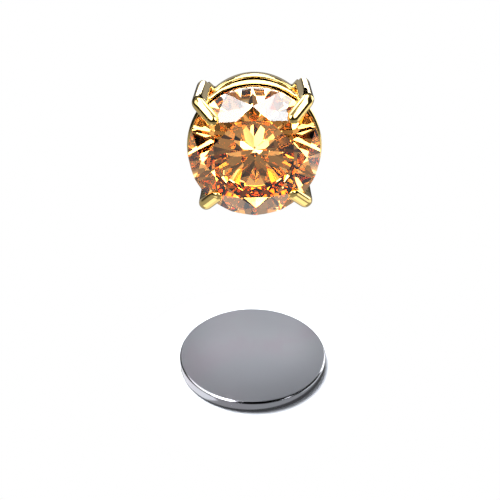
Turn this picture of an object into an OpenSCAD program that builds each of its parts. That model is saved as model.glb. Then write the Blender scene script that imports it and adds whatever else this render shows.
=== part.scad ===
// Magnetic stud earring: a round brilliant in a four claw basket with a magnet in its rear collet,
// and the loose magnetic disc that goes behind the ear lobe. Millimetres.
// The disc lies flat, centred on the origin. The front lies on its two rings behind the disc,
// with the stone looking towards -Y, as it comes to rest when it is put down on its side.

/* [Stone] */
// Diameter of the stone at its girdle
stone_d = 8; // [7:0.1:10]
// Width of the table, flat to flat
table_w = 4.68; // [3.6:0.02:5]
// Height of the crown above the girdle
crown_h = 1.14; // [0.9:0.02:1.5]
// Thickness of the girdle where it is thinnest
girdle_t = 0.05; // [0.02:0.01:0.2]
// Depth of the pavilion below the girdle
pavilion_h = 3.44; // [3:0.02:4.4]
// How far the star facets reach from the table to the girdle, as a share
star_reach = 0.48; // [0.4:0.01:0.6]
// How far the lower girdle facets reach from the girdle to the culet, as a share
lower_reach = 0.78; // [0.6:0.01:0.85]

/* [Claws] */
// Width of a claw
claw_w = 0.82; // [0.64:0.02:0.9]
// Thickness of a claw, measured outwards
claw_t = 0.8; // [0.6:0.02:0.84]
// Radius of a claw's outer edges
claw_edge_r = 0.3; // [0.1:0.02:0.3]
// Clearance between the girdle and the inside of a claw
claw_clear = 0.1; // [0.06:0.02:0.2]
// How far a claw's seat reaches in under the girdle
claw_seat = 0.2; // [0.1:0.02:0.3]
// How far a claw's tip comes in over the crown
claw_grip = 0.9; // [0.6:0.02:1.1]
// Thickness of a claw's tip above the crown
claw_tip_t = 0.3; // [0.2:0.02:0.5]
// Rise of a claw's tip from the girdle plane, in degrees
claw_rise = 29; // [26:1:36]
// Outer radius of a claw's bend
claw_bend_r = 0.84; // [0.84:0.02:1]
// How far a claw leans out towards its foot, in degrees
claw_lean = 1.25; // [0:0.25:2]
// How far a claw's foot ends short of the collet ring's rear edge
claw_foot_short = 0.4; // [0.1:0.02:0.5]
// Clearance between the stone and the metal
seat_gap = 0.03; // [0.01:0.01:0.08]

/* [Rings] */
// Diameter of the gallery wire
gallery_wire_d = 0.4; // [0.3:0.02:0.6]
// How far the gallery wire stands out beyond the girdle
gallery_proud = 0.22; // [0.04:0.02:0.3]
// Depth of the gallery wire behind the middle of the girdle
gallery_depth = 1.2; // [1:0.02:1.8]
// How far the collet ring stays inside the girdle's radius
collet_inset = 0.02; // [0:0.02:0.1]
// Wall of the collet ring
collet_wall = 0.46; // [0.4:0.02:0.6]
// Length of the collet ring along the earring's axis
collet_len = 1.2; // [0.9:0.02:1.4]
// Radius of the collet ring's outer edges
collet_edge_r = 0.18; // [0.1:0.02:0.2]

/* [Front magnet] */
// Thickness of the front magnet
magnet_t = 1.6; // [1.4:0.05:2]
// How far the front magnet stands out behind the collet ring
magnet_proud = 0.2; // [0.1:0.02:0.5]
// Clearance round the front magnet
magnet_gap = 0.03; // [0.01:0.01:0.1]
// Clearance between the culet and the front magnet
culet_gap = 0.26; // [0.05:0.01:0.4]
// Chamfer of the front magnet's edges
magnet_chamfer = 0.1; // [0.05:0.01:0.2]

/* [Back disc] */
// Diameter of the back disc
disc_d = 6.4; // [5:0.1:10]
// Thickness of the back disc
disc_t = 0.55; // [0.4:0.05:1.2]
// Chamfer of the back disc's edges
disc_chamfer = 0.08; // [0.04:0.01:0.15]

/* [Layout] */
// Distance from the middle of the disc back to the middle of the girdle
front_y = 14; // [12:0.2:30]
// Sideways distance from the middle of the disc to the middle of the girdle
front_x = 0; // [-1:0.05:1]
// How far the front has rolled on its rings, in degrees
front_roll = 1.75; // [-10:0.25:10]

/* [Hidden] */
$fn = 96;

sectors = 8;
sector = 360 / sectors;
half_sector = sector / 2;
kite_turn = half_sector;
facet_steps = 4;
girdle_step = half_sector / facet_steps;
claw_count = 4;
claw_turn = 45;

// Stone, with its girdle's middle at z = 0 and its table towards +Z
stone_r = stone_d / 2;
quarter = half_sector / 2;
chord_r = stone_r * cos(quarter);
table_flat_r = table_w / 2;
table_corner_r = table_flat_r / cos(half_sector);
kite_slope = atan2(crown_h, stone_r - table_corner_r);
star_r = table_flat_r + star_reach * (stone_r - table_flat_r);
star_drop = (star_r * cos(half_sector) - table_corner_r) * tan(kite_slope);
star_slope = atan2(star_drop, star_r - table_flat_r);
upper_slope = atan2(crown_h - star_drop, (stone_r - star_r) * cos(quarter));
girdle_top_z = girdle_t / 2 + (stone_r - chord_r) * tan(upper_slope);
table_z = girdle_top_z + crown_h;
star_z = table_z - star_drop;
main_slope = atan2(pavilion_h, stone_r);
lower_r = stone_r * (1 - lower_reach);
lower_drop = (stone_r - lower_r * cos(half_sector)) * tan(main_slope);
lower_slope = atan2(lower_drop, (stone_r - lower_r) * cos(quarter));
girdle_low_z = -girdle_t / 2 - (stone_r - chord_r) * tan(lower_slope);
culet_z = girdle_low_z - pavilion_h;
lower_z = girdle_low_z - lower_drop;

// Claws
claw_in_r = stone_r + claw_clear;
claw_out_r = claw_in_r + claw_t;
claw_tip_r = stone_r - claw_grip;
bend_r = claw_out_r - claw_bend_r;
bend_turn = 90 - claw_rise - claw_lean;
bend_overlap = 4;
crown_at_tip = claw_tip_r > star_r
    ? star_z - (claw_tip_r - star_r) * (star_z - girdle_top_z) / (stone_r - star_r)
    : table_z - (claw_tip_r - table_flat_r) * tan(star_slope);
tip_z = crown_at_tip + claw_tip_t;
tip_len = (bend_r + claw_bend_r * sin(claw_rise) - claw_tip_r) / cos(claw_rise);
bend_z = tip_z - tip_len * sin(claw_rise) - claw_bend_r * cos(claw_rise);
seat_h = 3 * claw_seat;

// Front magnet and rings, at their depths behind the girdle
magnet_front_z = culet_z - culet_gap;
magnet_back_z = magnet_front_z - magnet_t;
collet_back_z = magnet_back_z + magnet_proud;
collet_front_z = collet_back_z + collet_len;
collet_out_r = stone_r - collet_inset;
collet_in_r = collet_out_r - collet_wall;
magnet_r = collet_in_r - magnet_gap;
gallery_wire_r = gallery_wire_d / 2;
gallery_r = stone_r + gallery_proud - gallery_wire_r;

// The front lies on its gallery wire and on the rear edge of its collet ring
rest_in = gallery_r - (collet_out_r - collet_edge_r);
rest_back = -collet_back_z - collet_edge_r - gallery_depth;
rest_span = norm([rest_in, rest_back]);
front_tilt = acos((collet_edge_r - gallery_wire_r) / rest_span) - atan2(rest_back, rest_in);
front_h = gallery_r * cos(front_tilt) + gallery_depth * sin(front_tilt) + gallery_wire_r;

disc_r = disc_d / 2;

function polar(r, turn, z) = [r * cos(turn), r * sin(turn), z];

// How far a girdle point, counted round from a kite's tip, lies out from its facet's chord
function scallop(i) =
    stone_r * cos((i % facet_steps) * girdle_step - quarter) - chord_r;

// A brilliant: table, stars, kites and upper girdle facets over lower girdle facets and mains.
// Its girdle's two edges dip between the facets' corners, as a round girdle's do.
module stone_shape() {
    count = 2 * sectors * facet_steps;
    turns = [for (i = [0 : count - 1]) kite_turn + i * girdle_step];
    table = [for (k = [0 : sectors - 1]) polar(table_corner_r, kite_turn + k * sector, table_z)];
    stars = [for (k = [0 : sectors - 1])
        polar(star_r, kite_turn + (k + 0.5) * sector, star_z)];
    top = [for (i = [0 : count - 1])
        polar(stone_r, turns[i], girdle_top_z - scallop(i) * tan(upper_slope))];
    low = [for (i = [0 : count - 1])
        polar(stone_r, turns[i], girdle_low_z + scallop(i) * tan(lower_slope))];
    lowers = [for (k = [0 : sectors - 1])
        polar(lower_r, kite_turn + (k + 0.5) * sector, lower_z)];
    star_0 = sectors;
    top_0 = star_0 + sectors;
    low_0 = top_0 + count;
    lower_0 = low_0 + count;
    culet = lower_0 + sectors;
    ahead = [for (k = [0 : sectors - 1]) (k + 1) % sectors];
    behind = [for (k = [0 : sectors - 1]) (k + sectors - 1) % sectors];
    steps = [0 : facet_steps];
    polyhedron(
        points = concat(table, stars, top, low, lowers, [[0, 0, culet_z]]),
        faces = concat(
            [[for (k = [0 : sectors - 1]) sectors - 1 - k]],
            [for (k = [0 : sectors - 1]) [k, ahead[k], star_0 + k]],
            [for (k = [0 : sectors - 1])
                [k, star_0 + k, top_0 + 2 * k * facet_steps, star_0 + behind[k]]],
            [for (k = [0 : sectors - 1]) for (half = [0, 1])
                concat([star_0 + k], [for (i = steps)
                    top_0 + ((2 * k + half + 1) * facet_steps - i) % count])],
            [for (i = [0 : count - 1])
                [top_0 + i, top_0 + (i + 1) % count, low_0 + (i + 1) % count, low_0 + i]],
            [for (k = [0 : sectors - 1]) for (half = [0, 1])
                concat([lower_0 + k], [for (i = steps)
                    low_0 + ((2 * k + half) * facet_steps + i) % count])],
            [for (k = [0 : sectors - 1])
                [culet, lower_0 + behind[k], low_0 + 2 * k * facet_steps, lower_0 + k]]
        )
    );
}

// The space that the metal leaves for the stone, with its clearance
module stone_seat() {
    rotate_extrude()
        polygon([
            [0, culet_z],
            [stone_r + seat_gap, girdle_low_z - seat_gap],
            [stone_r + seat_gap, girdle_top_z + seat_gap],
            [star_r + seat_gap, star_z + seat_gap],
            [table_flat_r, table_z + seat_gap],
            [table_flat_r, table_z + 2 * claw_tip_t],
            [0, table_z + 2 * claw_tip_t]
        ]);
}

// Section of a claw, from its bend's axis outwards, with its two outer edges rounded
module claw_section() {
    in_x = claw_bend_r - claw_t;
    translate([in_x, -claw_w / 2])
        square([claw_t - claw_edge_r, claw_w]);
    translate([in_x, claw_edge_r - claw_w / 2])
        square([claw_t, claw_w - 2 * claw_edge_r]);
    for (side = [-1, 1])
        translate([claw_bend_r - claw_edge_r, side * (claw_w / 2 - claw_edge_r)])
            circle(r = claw_edge_r);
}

// A straight stretch of claw along +Z, with a round end
module claw_bar(len) {
    intersection() {
        linear_extrude(len)
            claw_section();
        rotate([0, 90, 0])
            linear_extrude(claw_bend_r) {
                translate([claw_w / 2 - len, -claw_w / 2])
                    square([len - claw_w / 2, claw_w]);
                translate([claw_w / 2 - len, 0])
                    circle(d = claw_w);
            }
    }
}

// The upright behind the bend, down to just short of the collet ring's rear edge
module claw_upright() {
    mirror([0, 0, 1])
        claw_bar((bend_z - collet_back_z - claw_foot_short) / cos(claw_lean));
}

module claw_bend() {
    rotate([90, 0, 0])
        rotate([0, 0, -bend_overlap])
            rotate_extrude(angle = bend_turn + 2 * bend_overlap)
                claw_section();
}

module claw_tip() {
    rotate([0, -bend_turn, 0])
        claw_bar(tip_len);
}

// The ledge that a claw holds under the girdle
module claw_ledge() {
    translate([stone_r - claw_seat, -claw_w / 2, girdle_low_z - seat_h])
        cube([claw_clear + claw_seat + claw_t / 2, claw_w, seat_h]);
}

// The webs that solder a claw to the two rings
module claw_webs() {
    web_len = collet_len - 2 * collet_edge_r;
    translate([collet_in_r, -claw_w / 2, collet_back_z + collet_edge_r])
        cube([claw_in_r + claw_t / 2 - collet_in_r, claw_w, web_len]);
    translate([gallery_r, 0, -gallery_depth])
        rotate([0, 90, 0])
            cylinder(r = 0.8 * gallery_wire_r, h = claw_in_r + claw_t / 2 - gallery_r);
}

module claw() {
    translate([bend_r, 0, bend_z])
        rotate([0, -claw_lean, 0]) {
            claw_upright();
            claw_bend();
            claw_tip();
        }
    claw_ledge();
    claw_webs();
}

module gallery_wire() {
    translate([0, 0, -gallery_depth])
        rotate_extrude()
            translate([gallery_r, 0])
                circle(r = gallery_wire_r);
}

// Section of the collet ring, round at its two outer edges
module collet_section() {
    translate([collet_in_r, collet_back_z])
        square([collet_wall - collet_edge_r, collet_len]);
    translate([collet_in_r, collet_back_z + collet_edge_r])
        square([collet_wall, collet_len - 2 * collet_edge_r]);
    for (z = [collet_back_z + collet_edge_r, collet_front_z - collet_edge_r])
        translate([collet_out_r - collet_edge_r, z])
            circle(r = collet_edge_r);
}

module setting_shape() {
    difference() {
        union() {
            for (i = [0 : claw_count - 1])
                rotate([0, 0, claw_turn + i * 360 / claw_count])
                    claw();
            gallery_wire();
            rotate_extrude()
                collet_section();
        }
        stone_seat();
        magnet_bore();
    }
}

// The bore through the collet ring and the claws' feet
module magnet_bore() {
    translate([0, 0, collet_back_z - magnet_t])
        cylinder(r = collet_in_r, h = magnet_t + collet_len);
}

// A disc with both its edges chamfered, standing on z = 0
module chamfered_disc(r, t, chamfer) {
    rotate_extrude()
        polygon([
            [0, 0],
            [r - chamfer, 0],
            [r, chamfer],
            [r, t - chamfer],
            [r - chamfer, t],
            [0, t]
        ]);
}

// Lays a piece of the front down behind the disc
module lay_front() {
    translate([front_x, front_y, front_h])
        rotate([90 - front_tilt, 0, 0])
            rotate([0, 0, front_roll])
                children();
}

module stone() {
    color("#c8904e")
        lay_front()
            stone_shape();
}

module setting() {
    color("#c9a24a")
        lay_front()
            setting_shape();
}

module front_magnet() {
    color("#a9adb2")
        lay_front()
            translate([0, 0, magnet_back_z])
                chamfered_disc(magnet_r, magnet_t, magnet_chamfer);
}

module back_disc() {
    color("#9b9fa8")
        chamfered_disc(disc_r, disc_t, disc_chamfer);
}

stone();
setting();
front_magnet();
back_disc();
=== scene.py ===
"""The looks of a magnetic earring: a brilliant in a four claw basket, and its loose back disc.

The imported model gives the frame. The stone and the hidden magnet keep their solids and get a finish.
The basket and the back disc are modelled here and stand for their solids.
"""

from __future__ import annotations

import logging
import math
from dataclasses import dataclass, replace
from enum import Enum
from typing import Protocol

import bpy
from mathutils import Euler, Matrix, Vector


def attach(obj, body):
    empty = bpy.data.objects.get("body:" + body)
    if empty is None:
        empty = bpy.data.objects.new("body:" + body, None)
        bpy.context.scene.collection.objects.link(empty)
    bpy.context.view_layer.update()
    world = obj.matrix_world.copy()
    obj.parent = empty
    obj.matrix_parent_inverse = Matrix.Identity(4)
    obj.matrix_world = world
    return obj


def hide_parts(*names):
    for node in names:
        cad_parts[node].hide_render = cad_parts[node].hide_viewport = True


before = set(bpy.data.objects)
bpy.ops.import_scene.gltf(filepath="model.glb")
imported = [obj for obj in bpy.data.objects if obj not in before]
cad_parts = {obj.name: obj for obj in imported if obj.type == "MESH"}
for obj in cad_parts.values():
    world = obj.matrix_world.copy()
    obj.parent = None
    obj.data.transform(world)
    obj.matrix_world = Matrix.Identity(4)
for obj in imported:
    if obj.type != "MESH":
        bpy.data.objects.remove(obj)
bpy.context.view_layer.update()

LOG = logging.getLogger("earring")
MM = 0.001
TINY = 0.001
ROOT = "root"
WHITE = (1.0, 1.0, 1.0)
BLACK = (0.0, 0.0, 0.0)
Colour = tuple[float, float, float]
Point = tuple[float, float, float]


class Metal(Enum):
    """The metals of the earring, by their colour where light strikes them straight on."""

    GOLD = (0.95, 0.69, 0.25)
    NICKEL = (0.6, 0.62, 0.67)


class Num:
    """A number in a shader. Sums on it add Math nodes."""

    def __init__(self, shader: Shader, socket: bpy.types.NodeSocket) -> None:
        """Wraps an output socket.

        Args:
            shader: The node tree that the sums are added to.
            socket: The output that holds the number.
        """
        self.shader = shader
        self.socket = socket

    def _sum(self, operation: str, *values: Num | float) -> Num:
        """Adds one Math node and returns its result.

        Args:
            operation: The Math node's operation.
            values: Plain or wrapped numbers, in order.

        Returns:
            The wrapped result.
        """
        inputs = dict(enumerate(values))
        made = self.shader.add("ShaderNodeMath", {"operation": operation}, inputs)
        return Num(self.shader, made.outputs[0])

    def __add__(self, other: Num | float) -> Num:
        """Adds other to this."""
        return self._sum("ADD", self, other)

    __radd__ = __add__

    def __sub__(self, other: Num | float) -> Num:
        """Takes other from this."""
        return self._sum("SUBTRACT", self, other)

    def __rsub__(self, other: Num | float) -> Num:
        """Takes this from other."""
        return self._sum("SUBTRACT", other, self)

    def __mul__(self, other: Num | float) -> Num:
        """Multiplies this by other."""
        return self._sum("MULTIPLY", self, other)

    __rmul__ = __mul__

    def __truediv__(self, other: Num | float) -> Num:
        """Divides this by other."""
        return self._sum("DIVIDE", self, other)

    def __abs__(self) -> Num:
        """Drops this number's sign."""
        return self._sum("ABSOLUTE", self)

    def most(self, other: Num | float) -> Num:
        """Returns the higher of this and other."""
        return self._sum("MAXIMUM", self, other)

    def ramp(self, low: float, high: float) -> Num:
        """Rises smoothly from 0 to 1 between two values.

        Args:
            low: Where the rise begins.
            high: Where it ends. Where this is below low, the ramp falls instead.

        Returns:
            The wrapped share.
        """
        settings = {"interpolation_type": "SMOOTHSTEP"}
        inputs = {"Value": self, "From Min": low, "From Max": high}
        made = self.shader.add("ShaderNodeMapRange", settings, inputs)
        return Num(self.shader, made.outputs["Result"])


class Shader:
    """A node tree under construction."""

    def __init__(self, tree: bpy.types.NodeTree) -> None:
        """Empties a node tree.

        Args:
            tree: The tree of a material or a world.
        """
        tree.nodes.clear()
        self.tree = tree

    def add(self, kind: str, settings: dict | None = None, inputs: dict | None = None) -> bpy.types.Node:
        """Adds a node.

        Args:
            kind: The node's type.
            settings: Its properties, set before its sockets.
            inputs: Socket name or index to a value, a socket or a wrapped number.

        Returns:
            The new node.
        """
        made = self.tree.nodes.new(kind)
        for name, value in (settings or {}).items():
            setattr(made, name, value)
        for key, value in (inputs or {}).items():
            socket = made.inputs[key]
            if isinstance(value, Num):
                self.tree.links.new(value.socket, socket)
            elif isinstance(value, bpy.types.NodeSocket):
                self.tree.links.new(value, socket)
            else:
                socket.default_value = value
        return made

    def mix(
        self,
        share: Num | float,
        first: Colour | bpy.types.NodeSocket,
        second: Colour | bpy.types.NodeSocket,
    ) -> bpy.types.NodeSocket:
        """Mixes two colours.

        Args:
            share: How much of the second colour shows.
            first: A colour or a socket.
            second: A colour or a socket.

        Returns:
            The mixed colour's socket.
        """
        inputs = {0: share, 6: rgba(first), 7: rgba(second)}
        return self.add("ShaderNodeMix", {"data_type": "RGBA"}, inputs).outputs[2]

    def dot(self, vector: bpy.types.NodeSocket, other: Vector) -> Num:
        """Projects a vector on a fixed one.

        Args:
            vector: The vector's socket.
            other: The fixed vector.

        Returns:
            The wrapped length.
        """
        inputs = {0: vector, 1: tuple(other)}
        made = self.add("ShaderNodeVectorMath", {"operation": "DOT_PRODUCT"}, inputs)
        return Num(self, made.outputs["Value"])

    def place(self) -> bpy.types.NodeSocket:
        """Returns the socket of the object's own coordinates."""
        return self.add("ShaderNodeTexCoord").outputs["Object"]

    def noise(self, scale: float, detail: float) -> Num:
        """Adds noise on the object's own coordinates.

        Args:
            scale: Lumps to a millimetre.
            detail: The noise's finer layers.

        Returns:
            The wrapped noise, about 0.5.
        """
        inputs = {"Vector": self.place(), "Scale": scale / MM, "Detail": detail}
        return Num(self, self.add("ShaderNodeTexNoise", {}, inputs).outputs["Fac"])


def rgba(colour: Colour | bpy.types.NodeSocket) -> tuple[float, ...] | bpy.types.NodeSocket:
    """Gives a plain colour its fourth number, and leaves a socket as it is."""
    return (*colour, 1.0) if isinstance(colour, tuple) else colour


def tinted(colour: Colour, by: Colour) -> Colour:
    """Returns a colour multiplied by another."""
    return tuple(one * other for one, other in zip(colour, by))


def new_material(name: str) -> tuple[bpy.types.Material, Shader]:
    """Makes a material with an empty node tree.

    Args:
        name: The material's name.

    Returns:
        The material and its tree.
    """
    material = bpy.data.materials.new(name)
    material.use_nodes = True
    return material, Shader(material.node_tree)


class Finish(Protocol):
    """A finish that a piece can take."""

    def material(self) -> bpy.types.Material:
        """Returns the finish's material."""


@dataclass(frozen=True)
class StoneFinish:
    """Champagne cubic zirconia: clear, with a tint that deepens along the light's way through it.

    The density is to a metre.
    """

    bend: float = 2.16
    tint: Colour = (1.0, 0.64, 0.0)
    density: float = 240.0

    def material(self) -> bpy.types.Material:
        """Returns the stone's material."""
        material, shader = new_material("champagne_stone")
        inputs = {"Color": rgba(WHITE), "Roughness": 0.0, "IOR": self.bend}
        glass = shader.add("ShaderNodeBsdfGlass", {}, inputs)
        inputs = {"Color": rgba(self.tint), "Density": self.density}
        tint = shader.add("ShaderNodeVolumeAbsorption", {}, inputs)
        links = {"Surface": glass.outputs[0], "Volume": tint.outputs[0]}
        shader.add("ShaderNodeOutputMaterial", {}, links)
        return material


@dataclass(frozen=True)
class MetalFinish:
    """A plated metal, with faint clouds in its colour and gloss and a little waviness.

    Scales are in lumps to a millimetre, and heights in millimetres. Clouds bring in the shade, and a wider
    drift brings in the blush. Above face_height the metal has the gloss of a rubbed face.
    """

    name: str
    metal: Metal
    shade: Colour
    blush: Colour = WHITE
    cloud: float = 0.5
    cloud_scale: float = 0.6
    drift: float = 0.15
    drift_scale: float = 0.24
    fine_scale: float = 3.6
    gloss_low: float = 0.05
    gloss_high: float = 0.12
    face_height: float = 100.0
    face_soft: float = 0.02
    face_gloss: float = 0.5
    wave: float = 0.02
    wave_scale: float = 1.5

    def _colour(self, shader: Shader) -> bpy.types.NodeSocket:
        """Builds the metal's clouded colour."""
        plain = self.metal.value
        cloud = (shader.noise(self.cloud_scale, 3.0) - 0.5).ramp(-self.cloud, self.cloud)
        clouded = shader.mix(cloud, tinted(plain, self.shade), plain)
        drift = (shader.noise(self.drift_scale, 1.0) - 0.5).ramp(-self.drift, self.drift)
        return shader.mix(drift, clouded, tinted(plain, self.blush))

    def _gloss(self, shader: Shader) -> Num:
        """Builds the roughness, which is even on a rubbed face and fine grained elsewhere."""
        fine = shader.noise(self.fine_scale, 4.0)
        gloss = fine * (self.gloss_high - self.gloss_low) + self.gloss_low
        height = shader.dot(shader.place(), Vector((0, 0, 1 / MM)))
        face = height.ramp(self.face_height - self.face_soft, self.face_height)
        return gloss + (self.face_gloss - gloss) * face

    def material(self) -> bpy.types.Material:
        """Returns the metal's material."""
        material, shader = new_material(self.name)
        wave = shader.noise(self.wave_scale, 2.0)
        inputs = {"Height": wave, "Distance": self.wave * MM, "Strength": 1.0}
        bump = shader.add("ShaderNodeBump", {}, inputs)
        inputs = {
            "Base Color": self._colour(shader),
            "Metallic": 1.0,
            "Roughness": self._gloss(shader),
            "Normal": bump.outputs[0],
        }
        body = shader.add("ShaderNodeBsdfPrincipled", {}, inputs)
        shader.add("ShaderNodeOutputMaterial", {}, {"Surface": body.outputs[0]})
        return material


POLISHED_GOLD = MetalFinish("polished_gold", Metal.GOLD, (0.97, 0.95, 0.9), wave=0.006)
HIDDEN_NICKEL = MetalFinish(
    "magnet_nickel",
    Metal.NICKEL,
    (0.94, 0.94, 0.95),
    gloss_low=0.16,
    gloss_high=0.26,
)
SATIN_NICKEL = MetalFinish(
    "satin_nickel",
    Metal.NICKEL,
    (1.0, 0.92, 0.96),
    blush=(0.95, 0.95, 0.965),
    cloud=0.22,
    gloss_low=0.1,
    gloss_high=0.16,
    face_height=0.54,
    face_gloss=0.5,
    wave=0.002,
)


class Bench:
    """Operator steps that several pieces share. Pieces are modelled in millimetres and then laid down."""

    @staticmethod
    def clear() -> None:
        """Deselects everything, in object mode."""
        if bpy.context.object and bpy.context.object.mode != "OBJECT":
            bpy.ops.object.mode_set(mode="OBJECT")
        bpy.ops.object.select_all(action="DESELECT")

    @staticmethod
    def pick(obj: bpy.types.Object) -> None:
        """Makes one object the only one selected, and active."""
        Bench.clear()
        obj.select_set(True)
        bpy.context.view_layer.objects.active = obj

    @staticmethod
    def turned(name: str, profile: list[tuple[float, float]], sides: int) -> bpy.types.Object:
        """Builds a round solid from a filled circle by extruding and resizing it.

        Args:
            name: The object's name.
            profile: Radius and height of each step, from the bottom.
            sides: Sides of the circle.

        Returns:
            The new object, closed and with its faces outwards.
        """
        Bench.clear()
        radius, height = profile[0]
        bpy.ops.mesh.primitive_circle_add(
            vertices=sides, radius=radius, fill_type="NGON", location=(0, 0, height), enter_editmode=True
        )
        for wide, high in profile[1:]:
            move = {"value": (0, 0, high - height)}
            bpy.ops.mesh.extrude_region_move(TRANSFORM_OT_translate=move)
            share = wide / radius
            bpy.ops.transform.resize(value=(share, share, 1), center_override=(0, 0, high))
            radius, height = wide, high
        bpy.ops.mesh.select_all(action="SELECT")
        bpy.ops.mesh.normals_make_consistent(inside=False)
        bpy.ops.object.mode_set(mode="OBJECT")
        made = bpy.context.object
        made.name = name
        Bench.settle(made)
        return made

    @staticmethod
    def settle(obj: bpy.types.Object) -> None:
        """Applies an object's place, turn and size to its mesh."""
        Bench.pick(obj)
        bpy.ops.object.transform_apply(location=True, rotation=True, scale=True)

    @staticmethod
    def apply(obj: bpy.types.Object, kind: str, **settings: object) -> None:
        """Adds a modifier and applies it.

        Args:
            obj: The object.
            kind: The modifier's type.
            settings: Its properties.
        """
        Bench.pick(obj)
        modifier = obj.modifiers.new(kind.title(), kind)
        for name, value in settings.items():
            setattr(modifier, name, value)
        bpy.ops.object.modifier_apply(modifier=modifier.name)

    @staticmethod
    def cut(obj: bpy.types.Object, cutter: bpy.types.Object) -> None:
        """Takes the cutter's space out of an object."""
        Bench.apply(obj, "BOOLEAN", operation="DIFFERENCE", object=cutter, solver="EXACT")

    @staticmethod
    def copy(obj: bpy.types.Object, turn: float) -> bpy.types.Object:
        """Copies an object with its own mesh, turned about the vertical.

        Args:
            obj: The object.
            turn: The turn in degrees.

        Returns:
            The copy.
        """
        made = obj.copy()
        made.data = obj.data.copy()
        bpy.context.scene.collection.objects.link(made)
        made.rotation_euler = (0, 0, math.radians(turn))
        Bench.settle(made)
        return made

    @staticmethod
    def join(first: bpy.types.Object, others: list[bpy.types.Object]) -> bpy.types.Object:
        """Joins objects into the first one and returns it."""
        Bench.pick(first)
        for other in others:
            other.select_set(True)
        bpy.ops.object.join()
        return first

    @staticmethod
    def drop(obj: bpy.types.Object) -> None:
        """Deletes an object that has served."""
        bpy.data.objects.remove(obj, do_unlink=True)

    @staticmethod
    def lay(obj: bpy.types.Object, place: Matrix) -> None:
        """Brings a piece from millimetres to metres and lays it at its place.

        Args:
            obj: The piece.
            place: Its place, in millimetres.
        """
        obj.matrix_world = Matrix.Scale(MM, 4) @ place
        Bench.settle(obj)


@dataclass
class Piece:
    """A piece of the earring that rides on the one body."""

    name: str

    def dress(self, obj: bpy.types.Object, material: bpy.types.Material, made: bool) -> None:
        """Gives a piece its finish, and says what it stands for.

        Args:
            obj: The piece's object.
            material: Its finish.
            made: Whether it is modelled here rather than a kept solid.
        """
        obj.data.materials.clear()
        obj.data.materials.append(material)
        if made:
            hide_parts(self.name)
            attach(obj, ROOT)
        LOG.info("%s: %d faces", obj.name, len(obj.data.polygons))


@dataclass(frozen=True)
class Cut:
    """The stone's brilliant cut, in millimetres. Its girdle is at height 0 and its table faces up.

    The table is given by half its width between flats, and the reaches as shares of the way.
    """

    radius: float = 4.0
    table: float = 2.34
    crown: float = 1.14
    girdle: float = 0.05
    pavilion: float = 3.44
    star_reach: float = 0.48
    lower_reach: float = 0.78
    sectors: int = 8

    @property
    def half(self) -> float:
        """Returns half the angle of one sector."""
        return math.pi / self.sectors

    @property
    def scallop(self) -> float:
        """Returns how far a half sector's chord lies inside the girdle."""
        return self.radius * (1 - math.cos(self.half / 2))

    @property
    def star_r(self) -> float:
        """Returns how far out the star facets reach."""
        return self.table + self.star_reach * (self.radius - self.table)

    @property
    def star_drop(self) -> float:
        """Returns how far the star facets fall from the table to their points."""
        corner = self.table / math.cos(self.half)
        kite_slope = self.crown / (self.radius - corner)
        return (self.star_r * math.cos(self.half) - corner) * kite_slope

    @property
    def top_z(self) -> float:
        """Returns the height of the girdle's upper edge, where it is highest."""
        run = (self.radius - self.star_r) * math.cos(self.half / 2)
        return self.girdle / 2 + self.scallop * (self.crown - self.star_drop) / run

    @property
    def low_z(self) -> float:
        """Returns the height of the girdle's lower edge, where it is lowest."""
        lower_r = self.radius * (1 - self.lower_reach)
        drop = (self.radius - lower_r * math.cos(self.half)) * self.pavilion / self.radius
        run = (self.radius - lower_r) * math.cos(self.half / 2)
        return -self.girdle / 2 - self.scallop * drop / run

    @property
    def table_z(self) -> float:
        """Returns the table's height."""
        return self.top_z + self.crown

    @property
    def culet_z(self) -> float:
        """Returns the culet's height."""
        return self.low_z - self.pavilion

    def star_z(self, radius: float) -> float:
        """Returns the height of a star facet, this far out."""
        return self.table_z - self.star_drop * (radius - self.table) / (self.star_r - self.table)


CUT = Cut()


@dataclass(frozen=True)
class Rings:
    """The gallery wire, and the collet ring with the magnet in it, in millimetres."""

    wire_r: float = 0.2
    gallery_proud: float = 0.22
    gallery_depth: float = 1.2
    collet_inset: float = 0.02
    collet_wall: float = 0.46
    collet_len: float = 1.2
    collet_edge: float = 0.18
    culet_gap: float = 0.26
    magnet_thick: float = 1.6
    magnet_proud: float = 0.2

    @property
    def gallery_r(self) -> float:
        """Returns the gallery wire's radius, to its middle."""
        return CUT.radius + self.gallery_proud - self.wire_r

    @property
    def collet_out(self) -> float:
        """Returns the collet ring's outer radius."""
        return CUT.radius - self.collet_inset

    @property
    def collet_in(self) -> float:
        """Returns the collet ring's inner radius."""
        return self.collet_out - self.collet_wall

    @property
    def collet_back(self) -> float:
        """Returns the height of the collet ring's rear."""
        return CUT.culet_z - self.culet_gap - self.magnet_thick + self.magnet_proud


RINGS = Rings()


@dataclass(frozen=True)
class Lie:
    """How the front lies on its gallery wire and its collet ring's rear edge, in millimetres and degrees."""

    across: float = 0.0
    behind: float = 14.0
    roll: float = 1.75

    def matrix(self) -> Matrix:
        """Returns the place of the front's own space, whose origin is the middle of the girdle.

        Returns:
            The place, with the nose up because the gallery wire is the wider ring.
        """
        drop = RINGS.gallery_r - (RINGS.collet_out - RINGS.collet_edge)
        run = -RINGS.collet_back - RINGS.collet_edge - RINGS.gallery_depth
        touch = math.acos((RINGS.collet_edge - RINGS.wire_r) / math.hypot(drop, run))
        nose_up = touch - math.atan2(run, drop)
        height = RINGS.gallery_r * math.cos(nose_up) + RINGS.gallery_depth * math.sin(nose_up) + RINGS.wire_r
        stand = Matrix.Rotation(math.radians(90) - nose_up, 4, "X")
        turn = Matrix.Rotation(math.radians(self.roll), 4, "Z")
        return Matrix.Translation((self.across, self.behind, height)) @ stand @ turn


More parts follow.
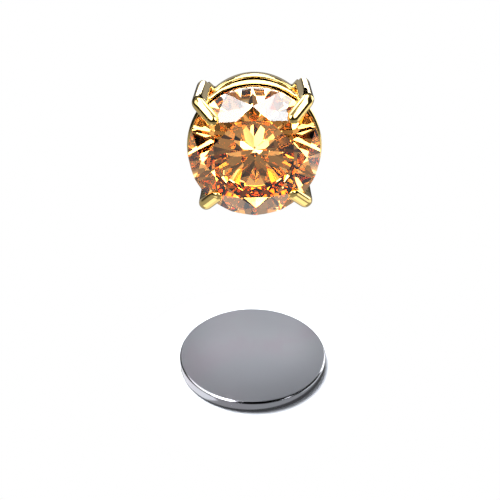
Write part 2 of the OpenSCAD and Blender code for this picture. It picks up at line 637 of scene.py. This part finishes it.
@dataclass(frozen=True)
class Claw:
    """One claw, along +X of the front's own space, in millimetres and degrees."""

    width: float = 0.82
    thick: float = 0.8
    clear: float = 0.1
    grip: float = 0.9
    tip_thick: float = 0.3
    tip_height: float = 0.28
    foot_short: float = 0.4
    outer_round: float = 0.36
    inner_round: float = 0.15
    bend_out: float = 0.84
    lean: float = 1.25
    rise: float = 29.0
    dome: float = 80.0
    outer_steps: int = 8
    inner_steps: int = 3
    bend_steps: int = 10
    end_steps: int = 6

    @property
    def middle_r(self) -> float:
        """Returns how far out the upright's middle is, at the girdle."""
        return CUT.radius + self.clear + self.thick / 2

    @property
    def bend_r(self) -> float:
        """Returns how far out the bend's centre is."""
        return CUT.radius + self.clear + self.thick - self.bend_out

    @property
    def tip_r(self) -> float:
        """Returns how far out the tip ends."""
        return CUT.radius - self.grip

    @property
    def tip_len(self) -> float:
        """Returns the tip's length from the bend."""
        rise = math.radians(self.rise)
        return (self.bend_r + self.bend_out * math.sin(rise) - self.tip_r) / math.cos(rise)

    @property
    def bend_z(self) -> float:
        """Returns the height of the bend's centre, which brings the tip down on a star facet."""
        rise = math.radians(self.rise)
        tip_z = CUT.star_z(self.tip_r) + self.tip_thick
        return tip_z - self.tip_len * math.sin(rise) - self.bend_out * math.cos(rise)

    @property
    def foot(self) -> float:
        """Returns the upright's length, which ends just short of the collet ring's rear."""
        return (self.bend_z - RINGS.collet_back - self.foot_short) / math.cos(math.radians(self.lean))

    def _round_end(self, along: Vector, pivot: Vector) -> None:
        """Domes the end of a bar, by extruding its end face and shrinking it towards the stone's side.

        Args:
            along: The bar's direction.
            pivot: The point of the end face, before it is domed, that the dome closes on.
        """
        half = self.width / 2
        reach, wide = 0.0, half
        for step in range(1, self.end_steps + 1):
            angle = math.radians(self.dome * step / self.end_steps)
            go = half * math.sin(angle)
            move = {"value": tuple(along * (go - reach))}
            bpy.ops.mesh.extrude_region_move(TRANSFORM_OT_translate=move)
            share = half * math.cos(angle) / wide
            bpy.ops.transform.resize(value=(share, share, share), center_override=tuple(pivot + along * go))
            reach, wide = go, half * math.cos(angle)

    def _round_corners(self, obj: bpy.types.Object, side: int, radius: float, steps: int) -> None:
        """Rounds two corners of the claw's first section.

        Args:
            obj: The claw, in edit mode.
            side: 1 for the outer corners, -1 for those at the stone.
            radius: The corners' radius.
            steps: The faces round each corner.
        """
        bpy.ops.mesh.select_mode(type="VERT")
        bpy.ops.mesh.select_all(action="DESELECT")
        bpy.ops.object.mode_set(mode="OBJECT")
        for vertex in obj.data.vertices:
            vertex.select = side * vertex.co.x > 0
        bpy.ops.object.mode_set(mode="EDIT")
        bpy.ops.mesh.bevel(offset=radius, segments=steps, affect="VERTICES")

    def build(self) -> bpy.types.Object:
        """Models the claw: its upright, bend and tip.

        Returns:
            The claw, closed, in the front's own space.
        """
        Bench.clear()
        half = self.width / 2
        foot = self.foot - half
        middle = self.bend_out - self.thick / 2
        bpy.ops.mesh.primitive_plane_add(size=1, location=(middle, 0, -foot), enter_editmode=True)
        bpy.ops.transform.resize(value=(self.thick, self.width, 1), center_override=(middle, 0, -foot))
        obj = bpy.context.object
        self._round_corners(obj, -1, self.inner_round, self.inner_steps)
        self._round_corners(obj, 1, self.outer_round, self.outer_steps)
        bpy.ops.mesh.select_all(action="SELECT")
        bpy.ops.mesh.extrude_region_move(TRANSFORM_OT_translate={"value": (0, 0, foot)})
        sweep = math.radians(90 - self.rise - self.lean)
        bpy.ops.mesh.spin(steps=self.bend_steps, angle=sweep, center=(0, 0, 0), axis=(0, 1, 0))
        along = Vector((-math.sin(sweep), 0, math.cos(sweep)))
        out = Vector((math.cos(sweep), 0, math.sin(sweep)))
        straight = self.tip_len - half
        bpy.ops.mesh.extrude_region_move(TRANSFORM_OT_translate={"value": tuple(along * straight)})
        self._round_end(along, along * straight + out * (self.bend_out - self.tip_height))
        bpy.ops.mesh.select_all(action="SELECT")
        bpy.ops.mesh.normals_make_consistent(inside=False)
        bpy.ops.object.mode_set(mode="OBJECT")
        lean = math.radians(-self.lean)
        obj.rotation_euler = (0, lean, 0)
        obj.location = Matrix.Rotation(lean, 3, "Y") @ obj.location
        obj.location += Vector((self.bend_r, 0, self.bend_z))
        Bench.settle(obj)
        obj.name = "claw"
        return obj


@dataclass
class Basket(Piece):
    """The soldered gold basket: four claws, the gallery wire and the collet ring, in millimetres."""

    name: str = "setting"
    claw: Claw = Claw()
    turns: tuple[float, ...] = (45, 135, 225, 315)
    seat_gap: float = 0.03
    seat_top: float = 2.2
    bore_end: float = -6.0
    ledge_in: float = 0.2
    ledge_deep: float = 0.6
    wire_web: float = 0.15
    web_edge: float = 0.04
    cutter_sides: int = 96
    ring_sides: int = 128
    wire_sides: int = 20
    edge_steps: int = 5
    grain: float = 0.05
    smooth_share: float = 0.5
    smooth_times: int = 11
    finish: MetalFinish = POLISHED_GOLD

    def seat(self) -> bpy.types.Object:
        """Builds the space that the stone and the magnet leave no metal in.

        Returns:
            The cutter.
        """
        gap = self.seat_gap
        profile = [
            (0.01, CUT.culet_z),
            (CUT.radius + gap, CUT.low_z - gap),
            (CUT.radius + gap, CUT.top_z + gap),
            (CUT.star_r + gap, CUT.star_z(CUT.star_r) + gap),
            (CUT.table, CUT.table_z + gap),
            (CUT.table, self.seat_top),
        ]
        stone = Bench.turned("seat", profile, self.cutter_sides)
        front = RINGS.collet_back + RINGS.collet_len
        sides = [(RINGS.collet_in, self.bore_end), (RINGS.collet_in, front)]
        return Bench.join(stone, [Bench.turned("bore", sides, self.cutter_sides)])

    def collet(self) -> bpy.types.Object:
        """Builds the collet ring's outside, round at its edges."""
        edge = RINGS.collet_edge
        core = RINGS.collet_out - edge
        low = RINGS.collet_back + edge
        high = RINGS.collet_back + RINGS.collet_len - edge
        angles = [math.radians(90 * step / self.edge_steps) for step in range(self.edge_steps + 1)]
        below = [(core + edge * math.sin(angle), low - edge * math.cos(angle)) for angle in angles]
        above = [(core + edge * math.cos(angle), high + edge * math.sin(angle)) for angle in angles]
        return Bench.turned("collet", below + above, self.ring_sides)

    def wire(self) -> bpy.types.Object:
        """Builds the gallery wire."""
        Bench.clear()
        bpy.ops.mesh.primitive_torus_add(
            major_radius=RINGS.gallery_r,
            minor_radius=RINGS.wire_r,
            major_segments=self.ring_sides,
            minor_segments=self.wire_sides,
            location=(0, 0, -RINGS.gallery_depth),
        )
        made = bpy.context.object
        Bench.settle(made)
        return made

    def block(self, name: str, low: Point, high: Point) -> bpy.types.Object:
        """Builds a block between two corners, for a web or a ledge.

        Args:
            name: The block's name.
            low: Its lowest corner.
            high: Its highest corner.

        Returns:
            The block.
        """
        Bench.clear()
        middle = [(a + b) / 2 for a, b in zip(low, high)]
        size = [b - a for a, b in zip(low, high)]
        bpy.ops.mesh.primitive_cube_add(size=1, location=middle)
        made = bpy.context.object
        made.name = name
        made.scale = size
        Bench.settle(made)
        Bench.apply(made, "BEVEL", width=self.web_edge, segments=2)
        return made

    def claw_with_webs(self, cutter: bpy.types.Object) -> list[bpy.types.Object]:
        """Builds one claw and the webs that solder it on, cut to the seat.

        Args:
            cutter: The seat and the bore.

        Returns:
            The claw and its webs.
        """
        half, web = self.claw.width / 2, self.wire_web
        out = self.claw.middle_r
        ledge_r = CUT.radius - self.ledge_in
        back = RINGS.collet_back + RINGS.collet_edge
        front = RINGS.collet_back + RINGS.collet_len - RINGS.collet_edge
        wire_z = -RINGS.gallery_depth
        parts = [
            self.claw.build(),
            self.block("ledge", (ledge_r, -half, CUT.low_z - self.ledge_deep), (out, half, CUT.low_z)),
            self.block("web", (RINGS.collet_in, -half, back), (out, half, front)),
            self.block("wire_web", (RINGS.gallery_r, -web, wire_z - web), (out, web, wire_z + web)),
        ]
        for part in parts:
            Bench.cut(part, cutter)
        return parts

    def build(self, lie: Lie) -> None:
        """Models the basket, fuses it and lays it down.

        Args:
            lie: How the front lies.
        """
        cutter = self.seat()
        parts = self.claw_with_webs(cutter)
        whole = self.collet()
        Bench.cut(whole, cutter)
        copies = [Bench.copy(part, turn) for turn in self.turns for part in parts]
        for part in parts:
            Bench.drop(part)
        Bench.drop(cutter)
        Bench.join(whole, [self.wire()] + copies)
        Bench.apply(whole, "REMESH", mode="VOXEL", voxel_size=self.grain, adaptivity=0.0)
        Bench.apply(whole, "SMOOTH", factor=self.smooth_share, iterations=self.smooth_times)
        whole.name = "gold_basket"
        Bench.lay(whole, lie.matrix())
        Bench.pick(whole)
        bpy.ops.object.shade_smooth()
        self.dress(whole, self.finish.material(), True)


@dataclass
class BackDisc(Piece):
    """The loose disc with its two chamfered edges, in millimetres."""

    name: str = "back_disc"
    radius: float = 3.198
    thick: float = 0.55
    chamfer: float = 0.08
    soft_edge: float = 0.03
    sides: int = 192
    finish: MetalFinish = SATIN_NICKEL

    def build(self) -> None:
        """Models the disc, flat on the floor."""
        rim, edge = self.radius, self.radius - self.chamfer
        high = self.thick - self.chamfer
        profile = [(edge, 0), (rim, self.chamfer), (rim, high), (edge, self.thick)]
        disc = Bench.turned("nickel_disc", profile, self.sides)
        sharp = {"limit_method": "ANGLE", "angle_limit": math.radians(30)}
        Bench.apply(disc, "BEVEL", width=self.soft_edge, segments=3, **sharp)
        Bench.lay(disc, Matrix.Identity(4))
        Bench.pick(disc)
        bpy.ops.object.shade_smooth_by_angle(angle=math.radians(20))
        self.dress(disc, self.finish.material(), True)


@dataclass
class KeptSolid(Piece):
    """A piece whose solid is already right and only gets its finish."""

    finish: Finish

    def build(self) -> None:
        """Dresses the solid."""
        self.dress(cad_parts[self.name], self.finish.material(), False)


@dataclass(frozen=True)
class Panel:
    """A light or dark panel of the studio, seen in the metal and the stone. Angles are in degrees.

    The azimuth is 0 towards -Y, where the stone looks, and grows towards +X. The edges fade over the soft
    angle to either side, and nothing shows of it past its own horizon.
    """

    azimuth: float
    height: float
    half_wide: float
    half_tall: float
    light: float
    soft: float = 4.0
    horizon: float = 0.02

    def mask(self, shader: Shader, view: bpy.types.NodeSocket) -> Num:
        """Builds the share of the panel that shows in a direction.

        Args:
            shader: The world's tree.
            view: The direction's socket.

        Returns:
            The wrapped share.
        """
        turn = Euler((0, 0, math.radians(self.azimuth)), "XYZ").to_matrix()
        tilt = Euler((math.radians(-self.height), 0, 0), "XYZ").to_matrix()
        look = turn @ tilt
        ahead = shader.dot(view, look @ Vector((0, -1, 0)))
        side = shader.dot(view, look @ Vector((1, 0, 0)))
        up = shader.dot(view, look @ Vector((0, 0, 1)))
        near = ahead.most(TINY)
        wide = self._edge(abs(side / near), self.half_wide)
        tall = self._edge(abs(up / near), self.half_tall)
        return wide * tall * ahead.ramp(0.0, self.horizon)

    def _edge(self, offset: Num, half: float) -> Num:
        """Falls from 1 to 0 across the panel's edge."""
        outer = math.tan(math.radians(half + self.soft))
        inner = math.tan(math.radians(half - self.soft))
        return offset.ramp(outer, inner)


@dataclass(frozen=True)
class Surroundings:
    """What lies round the earring: an even room and ground, with panels over them.

    The ground begins just above the horizon and is whole a little below it.
    """

    room: float
    ground: float
    panels: tuple[Panel, ...]
    ground_from: float = -0.05
    ground_to: float = 0.15

    def paint(self, shader: Shader, view: bpy.types.NodeSocket) -> Num:
        """Builds the brightness of each direction.

        Args:
            shader: The world's tree.
            view: The direction's socket.

        Returns:
            The wrapped brightness.
        """
        below = shader.dot(view, Vector((0, 0, -1))).ramp(self.ground_from, self.ground_to)
        light = self.room + (self.ground - self.room) * below
        for panel in self.panels:
            mask = panel.mask(shader, view)
            light = light * (1 - mask) + panel.light * mask
        return light


# What shows through the stone. A search against the photograph found the first nine panels and
# the ground. The lights of the five bright ones, the sizes of two of them, the last panel and the room
# were set one by one.
# Each panel has its azimuth, height, half width, half height and light.
SPARKLE_SKY = Surroundings(
    room=0.38,
    ground=0.0,
    panels=(
        Panel(-42, -39, 41, 16, 6.5),
        Panel(-52, 20, 24, 18, 0.0),
        Panel(-50, -39, 17, 44, 17.0),
        Panel(60, 60, 20, 25, 11.0),
        Panel(33, -55, 9, 46, 15.0),
        Panel(-28, 89, 25, 14, 0.0),
        Panel(120, -62, 6, 13, 2.4),
        Panel(6, 27, 18, 16, 0.0),
        Panel(-61, 44, 17, 15, 9.5),
        Panel(0, -9, 21, 6, 1.1),
    ),
)

# What the metal and the stone's faces reflect, with the softness last where it is its own
GLOSS_SKY = Surroundings(
    room=0.02,
    ground=0.38,
    panels=(
        Panel(0, 88, 42, 42, 0.35),
        Panel(-85, 33, 20, 10, 2.4),
        Panel(-45, 41, 13, 18, 7.0),
        Panel(41, 43, 12, 18, 7.0),
        Panel(180, 2, 20, 5, 0.35, 1.5),
        Panel(180, -14, 22, 8, 0.03, 2.0),
        Panel(180, 45, 60, 13, 0.2),
        Panel(128, 9, 14, 12, 3.0),
        Panel(-95, -34, 30, 20, 0.4),
        Panel(100, -18, 25, 12, 1.3),
        Panel(0, -88, 22, 22, 1.0),
        Panel(0, -14, 26, 12, 0.28),
    ),
)


@dataclass(frozen=True)
class Card:
    """A plain rectangle that only reflections show, in millimetres, tilted about X by so many degrees."""

    name: str
    place: Point
    wide: float
    tall: float
    tilt: float
    light: float

    def side(self, name: str, sign: int) -> Card:
        """Returns this card's twin on one side.

        Args:
            name: The side's name, which goes before the card's own.
            sign: -1 for the left and 1 for the right.

        Returns:
            The twin.
        """
        across, behind, height = self.place
        return replace(self, name=f"{name}_{self.name}", place=(sign * across, behind, height))


CARDS = (
    Card("roof_card", (0, 17.2, 9.9), 4.6, 6.4, 0, 4.2),
    Card("brow_card", (0, 14.1, 9.14), 4.6, 1.62, 90, 4.2),
    Card("ring_flag", (0, 16.8, 9.0), 7, 1.8, 90, 0.0),
    Card("rear_card", (0, 20.5, 8.63), 2.6, 0.76, 90, 4.2),
    Card("chamfer_flag", (1.7, -6.4, 3.6), 7.6, 5.6, 0, 0.0),
    Card("table_card", (0, 8, 2.9), 7, 5, 90, 0.28),
    Card("disc_card", (0, 7.9, 2.9), 7, 5, 90, 0.55),
    Card("rim_card", (-12, 0, -4), 13, 12, 0, 1.15),
)
SIDE_CARDS = (
    Card("foot_card", (6.4, 11, -4), 4, 3.6, 0, 1.4),
    Card("bend_card", (3.6, 13.8, 10.5), 2.2, 4, 0, 5.2),
    Card("card", (3.92, 20, 8.62), 1.95, 1.55, 90, 4.2),
)


@dataclass
class Studio:
    """Floor, lamp, cards, world and camera. Lengths are in millimetres and angles in degrees."""

    backdrop: float = 1.0
    fill: float = 0.25
    sparkle_tone: Colour = (1.0, 1.12, 1.38)
    sparkle: Surroundings = SPARKLE_SKY
    gloss: Surroundings = GLOSS_SKY
    floor_reach: float = 600.0
    shade_reach: float = 4.6
    shade_fade: float = 1.0
    paper: tuple[Colour, Colour] = ((0.87, 0.91, 0.98), (0.88, 0.92, 0.99))
    paper_scale: float = 0.05
    lamp_place: Point = (-28, 18, 92)
    lamp_side: float = 52.0
    lamp_watts: float = 0.2
    # Near-black flag under the disc: the disc's lower edge reflects it as a painted dark contact shade
    contact_place: Point = (0.13, -0.06, 0.002)
    contact_r: float = 3.3
    contact_light: float = 0.08
    girdle_low_r: float = 2.35
    girdle_high_r: float = 3.86
    girdle_tall: float = 1.3
    girdle_z: float = -0.95
    flag_sides: int = 96
    eye: Point = (0.1, -20.932, 17.833)
    lens: float = 43.8
    sensor: float = 36.0
    pitch: float = 30.164
    yaw: float = 0.583
    nearest: float = 1.0
    farthest: float = 5000.0
    bounces: int = 24
    gloss_bounces: int = 8

    def world(self) -> None:
        """Paints the studio that the pieces reflect, behind a white backdrop for the camera."""
        world = bpy.data.worlds.new("studio")
        world.use_nodes = True
        world.cycles.sampling_method = "NONE"
        bpy.context.scene.world = world
        shader = Shader(world.node_tree)
        view = shader.add("ShaderNodeTexCoord").outputs["Generated"]
        path = shader.add("ShaderNodeLightPath").outputs
        glossy = Num(shader, path["Is Glossy Ray"])
        through = Num(shader, path["Is Transmission Ray"])
        seen = Num(shader, path["Is Camera Ray"])
        light = self.fill + (self.gloss.paint(shader, view) - self.fill) * glossy
        light = light + (self.sparkle.paint(shader, view) - light) * through
        light = light + (self.backdrop - light) * seen
        tone = shader.mix(through, WHITE, self.sparkle_tone)
        room = shader.add("ShaderNodeBackground", {}, {"Color": tone, "Strength": light})
        shader.add("ShaderNodeOutputWorld", {}, {"Surface": room.outputs[0]})

    def floor(self) -> None:
        """Makes the floor: pale paper that takes the disc's shadow, and plain white light further out."""
        Bench.clear()
        bpy.ops.mesh.primitive_circle_add(vertices=64, radius=self.floor_reach * MM, fill_type="NGON")
        obj = bpy.context.object
        obj.name = "floor"
        material, shader = new_material("light_table")
        away = shader.add("ShaderNodeVectorMath", {"operation": "LENGTH"}, {0: shader.place()})
        reach = self.shade_reach * MM
        lit = Num(shader, away.outputs["Value"]).ramp(reach, reach + self.shade_fade * MM)
        paper = shader.mix(shader.noise(self.paper_scale, 2.0), *self.paper)
        inputs = {
            "Base Color": shader.mix(lit, paper, BLACK),
            "Roughness": 0.9,
            "Specular IOR Level": 0.0,
            "Emission Color": shader.mix(lit, BLACK, WHITE),
            "Emission Strength": 1.0,
        }
        body = shader.add("ShaderNodeBsdfPrincipled", {}, inputs)
        shader.add("ShaderNodeOutputMaterial", {}, {"Surface": body.outputs[0]})
        obj.data.materials.append(material)
        obj.visible_glossy = False
        obj.visible_transmission = False

    def lamp(self) -> None:
        """Adds the one soft lamp, aimed at the middle of the disc. Nothing reflects it."""
        data = bpy.data.lights.new("key", "AREA")
        data.size = self.lamp_side * MM
        data.energy = self.lamp_watts
        obj = bpy.data.objects.new("key", data)
        bpy.context.scene.collection.objects.link(obj)
        place = Vector(self.lamp_place)
        obj.location = place * MM
        obj.rotation_euler = (-place).to_track_quat("-Z", "Y").to_euler()
        obj.visible_glossy = False
        obj.visible_transmission = False

    @staticmethod
    def hide(obj: bpy.types.Object, place: Matrix, name: str, light: float) -> None:
        """Lays an object down as a card or flag that only reflections show.

        Args:
            obj: The object, in millimetres.
            place: Its place.
            name: Its name.
            light: Its brightness.
        """
        Bench.settle(obj)
        Bench.lay(obj, place)
        obj.name = name
        material, shader = new_material(name)
        glow = shader.add("ShaderNodeEmission", {}, {"Color": rgba(WHITE), "Strength": light})
        shader.add("ShaderNodeOutputMaterial", {}, {"Surface": glow.outputs[0]})
        obj.data.materials.append(material)
        obj.visible_camera = False
        obj.visible_diffuse = False
        obj.visible_transmission = False
        obj.visible_shadow = False

    def reflectors(self) -> None:
        """Sets the cards over and round the rings, the claws and the disc."""
        sides = (("left", -1), ("right", 1))
        pairs = [card.side(name, sign) for card in SIDE_CARDS for name, sign in sides]
        for card in (*CARDS, *pairs):
            Bench.clear()
            bpy.ops.mesh.primitive_plane_add(size=1)
            obj = bpy.context.object
            obj.scale = (card.wide, card.tall, 1)
            tilt = Matrix.Rotation(math.radians(card.tilt), 4, "X")
            self.hide(obj, Matrix.Translation(card.place) @ tilt, card.name, card.light)

    def flags(self) -> None:
        """Sets the black flags close by: one under the disc, which paints a dark contact shade into the
        reflection of the disc's lower edge, and one cone behind the girdle.
        """
        # Painted contact shade: a near-black sheet under the disc that the disc's lower edge reflects where
        # the floor would lie in shade
        Bench.clear()
        bpy.ops.mesh.primitive_circle_add(
            vertices=self.flag_sides, radius=self.contact_r, fill_type="NGON", location=self.contact_place
        )
        self.hide(bpy.context.object, Matrix.Identity(4), "contact_shade_flag", self.contact_light)
        Bench.clear()
        bpy.ops.mesh.primitive_cone_add(
            vertices=self.flag_sides,
            radius1=self.girdle_low_r,
            radius2=self.girdle_high_r,
            depth=self.girdle_tall,
            end_fill_type="NOTHING",
            location=(0, 0, self.girdle_z),
        )
        self.hide(bpy.context.object, Lie().matrix(), "girdle_flag", 0.0)

    def camera(self) -> None:
        """Sets the camera at the photograph's angle."""
        data = bpy.data.cameras.new("camera")
        data.sensor_width = self.sensor
        data.lens = self.lens
        data.clip_start = self.nearest * MM
        data.clip_end = self.farthest * MM
        obj = bpy.data.objects.new("camera", data)
        bpy.context.scene.collection.objects.link(obj)
        obj.location = Vector(self.eye) * MM
        obj.rotation_euler = (math.radians(90 - self.pitch), 0, math.radians(self.yaw))
        bpy.context.scene.camera = obj

    def build(self) -> None:
        """Builds the studio."""
        self.camera()
        self.world()
        self.floor()
        self.lamp()
        self.reflectors()
        self.flags()
        scene = bpy.context.scene
        scene.view_settings.view_transform = "Standard"
        scene.cycles.max_bounces = self.bounces
        scene.cycles.transmission_bounces = self.bounces
        scene.cycles.glossy_bounces = self.gloss_bounces


def main() -> None:
    """Builds the studio and the four pieces, and reports each one."""
    logging.basicConfig(level=logging.INFO, format="%(name)s %(message)s")
    Studio().build()
    lie = Lie()
    KeptSolid("stone", StoneFinish()).build()
    KeptSolid("front_magnet", HIDDEN_NICKEL).build()
    Basket().build(lie)
    BackDisc().build()


if __name__ == "__main__":
    main()
